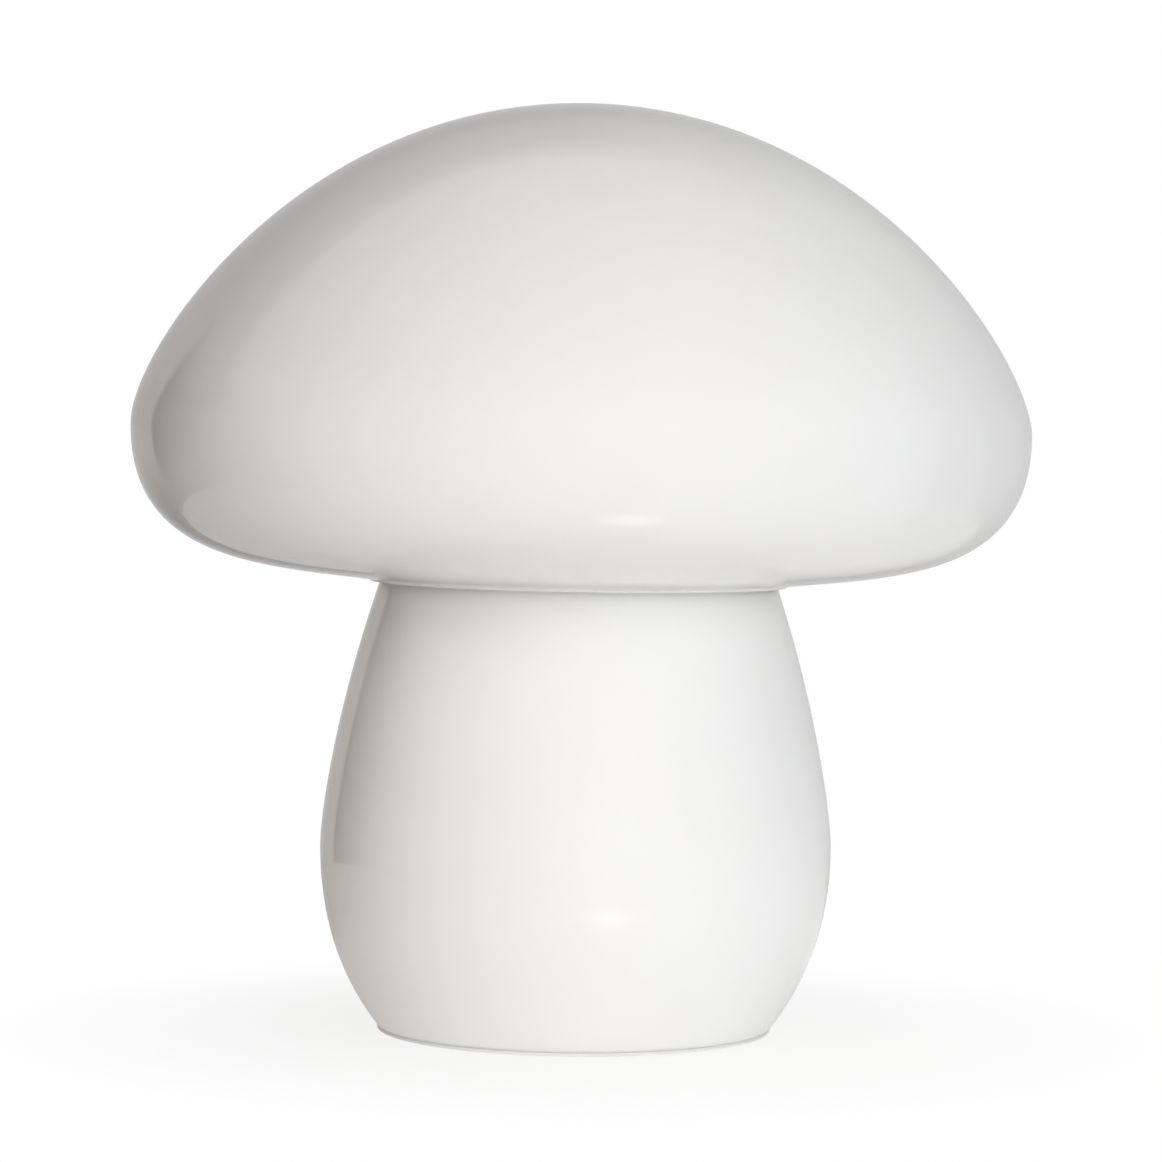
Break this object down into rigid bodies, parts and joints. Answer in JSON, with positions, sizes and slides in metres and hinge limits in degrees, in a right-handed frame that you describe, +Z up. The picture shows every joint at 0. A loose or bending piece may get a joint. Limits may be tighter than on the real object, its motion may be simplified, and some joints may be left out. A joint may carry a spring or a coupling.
{
  "type": "table lamp",
  "caption": "Mushroom-shaped table lamp in white opal glass: a lift-off domed cap on a barrel stem, around a screw-in bulb on a threaded tube.",
  "frame": {"origin": "on the table, under the lamp's vertical axis", "axes": "+Z up along the lamp's axis, +Y towards the side where the cord comes out, front towards -Y"},
  "size_m": [0.3, 0.3, 0.31],
  "materials": {
    "opal_glass": "opal white, gloss, fire-polished",
    "clear_silicone": "translucent, satin",
    "white_steel": "white powder coat, fine texture",
    "zinc_steel": "zinc plated, satin",
    "holder_plastic": "white moulded plastic, satin",
    "steatite": "unglazed electrical ceramic",
    "contact_brass": "plain brass",
    "bulb_opal_plastic": "opal plastic, satin",
    "bulb_white_plastic": "white moulded plastic",
    "bulb_nickel": "nickel plated",
    "bulb_insulation": "black, gloss",
    "bulb_tin": "tinned solder",
    "board_aluminium": "white solder mask on aluminium",
    "board_green": "green circuit board",
    "wire_brown": "brown insulation",
    "wire_blue": "blue insulation"
  },
  "bodies": {
    "stem": {"stem_glass": "opal_glass", "foot_gasket": "clear_silicone", "base_plate": "white_steel", "base_bumpers": "clear_silicone", "cord_gland": "clear_silicone", "centre_tube": "zinc_steel", "plate_washer": "zinc_steel", "plate_lower_nut": "zinc_steel", "plate_upper_nut": "zinc_steel", "neck_bridge": "zinc_steel", "bridge_pads": "clear_silicone", "bridge_washer": "zinc_steel", "bridge_nut": "zinc_steel", "holder_cap": "holder_plastic", "holder_grub_screw": "zinc_steel", "holder_insert": "steatite", "holder_terminals": "contact_brass", "holder_shell": "holder_plastic", "holder_side_contact": "contact_brass", "holder_thread_sleeve": "contact_brass", "holder_centre_contact": "contact_brass", "terminal_block": "holder_plastic", "block_inserts": "contact_brass", "block_screws": "zinc_steel", "block_fixing_screw": "zinc_steel", "wire_live": "wire_brown", "wire_neutral": "wire_blue"},
    "seat_ring": {"cap_seat_ring": "clear_silicone"},
    "cap": {"cap_glass": "opal_glass"},
    "bulb_tip": {"bulb_tip_contact": "bulb_tin"},
    "bulb": {"bulb_insulator": "bulb_insulation", "bulb_screw_shell": "bulb_nickel", "bulb_housing": "bulb_white_plastic", "bulb_led_board": "board_aluminium", "bulb_driver_board": "board_green", "bulb_diffuser": "bulb_opal_plastic"}
  },
  "joints": [
    {"name": "cap_turn", "type": "hinge", "parent": "stem", "child": "seat_ring", "pos_m": [0, 0, 0.1505], "axis": [0, 0, 1], "continuous": true},
    {"name": "cap_lift", "type": "slide", "parent": "seat_ring", "child": "cap", "axis": [0, 0, 1], "range_m": [0, 0.16]},
    {"name": "bulb_rise", "type": "slide", "parent": "stem", "child": "bulb_tip", "axis": [0, 0, 1], "range_m": [0, 0.01815]},
    {"name": "bulb_turn", "type": "hinge", "parent": "bulb_tip", "child": "bulb", "pos_m": [0, 0, 0.1723], "axis": [0, 0, 1], "range_deg": [0, 1800]}
  ],
  "couplings": [
    {"joint": "bulb_rise", "follows": "bulb_turn", "m_per_rad": 0.00057757}
  ]
}
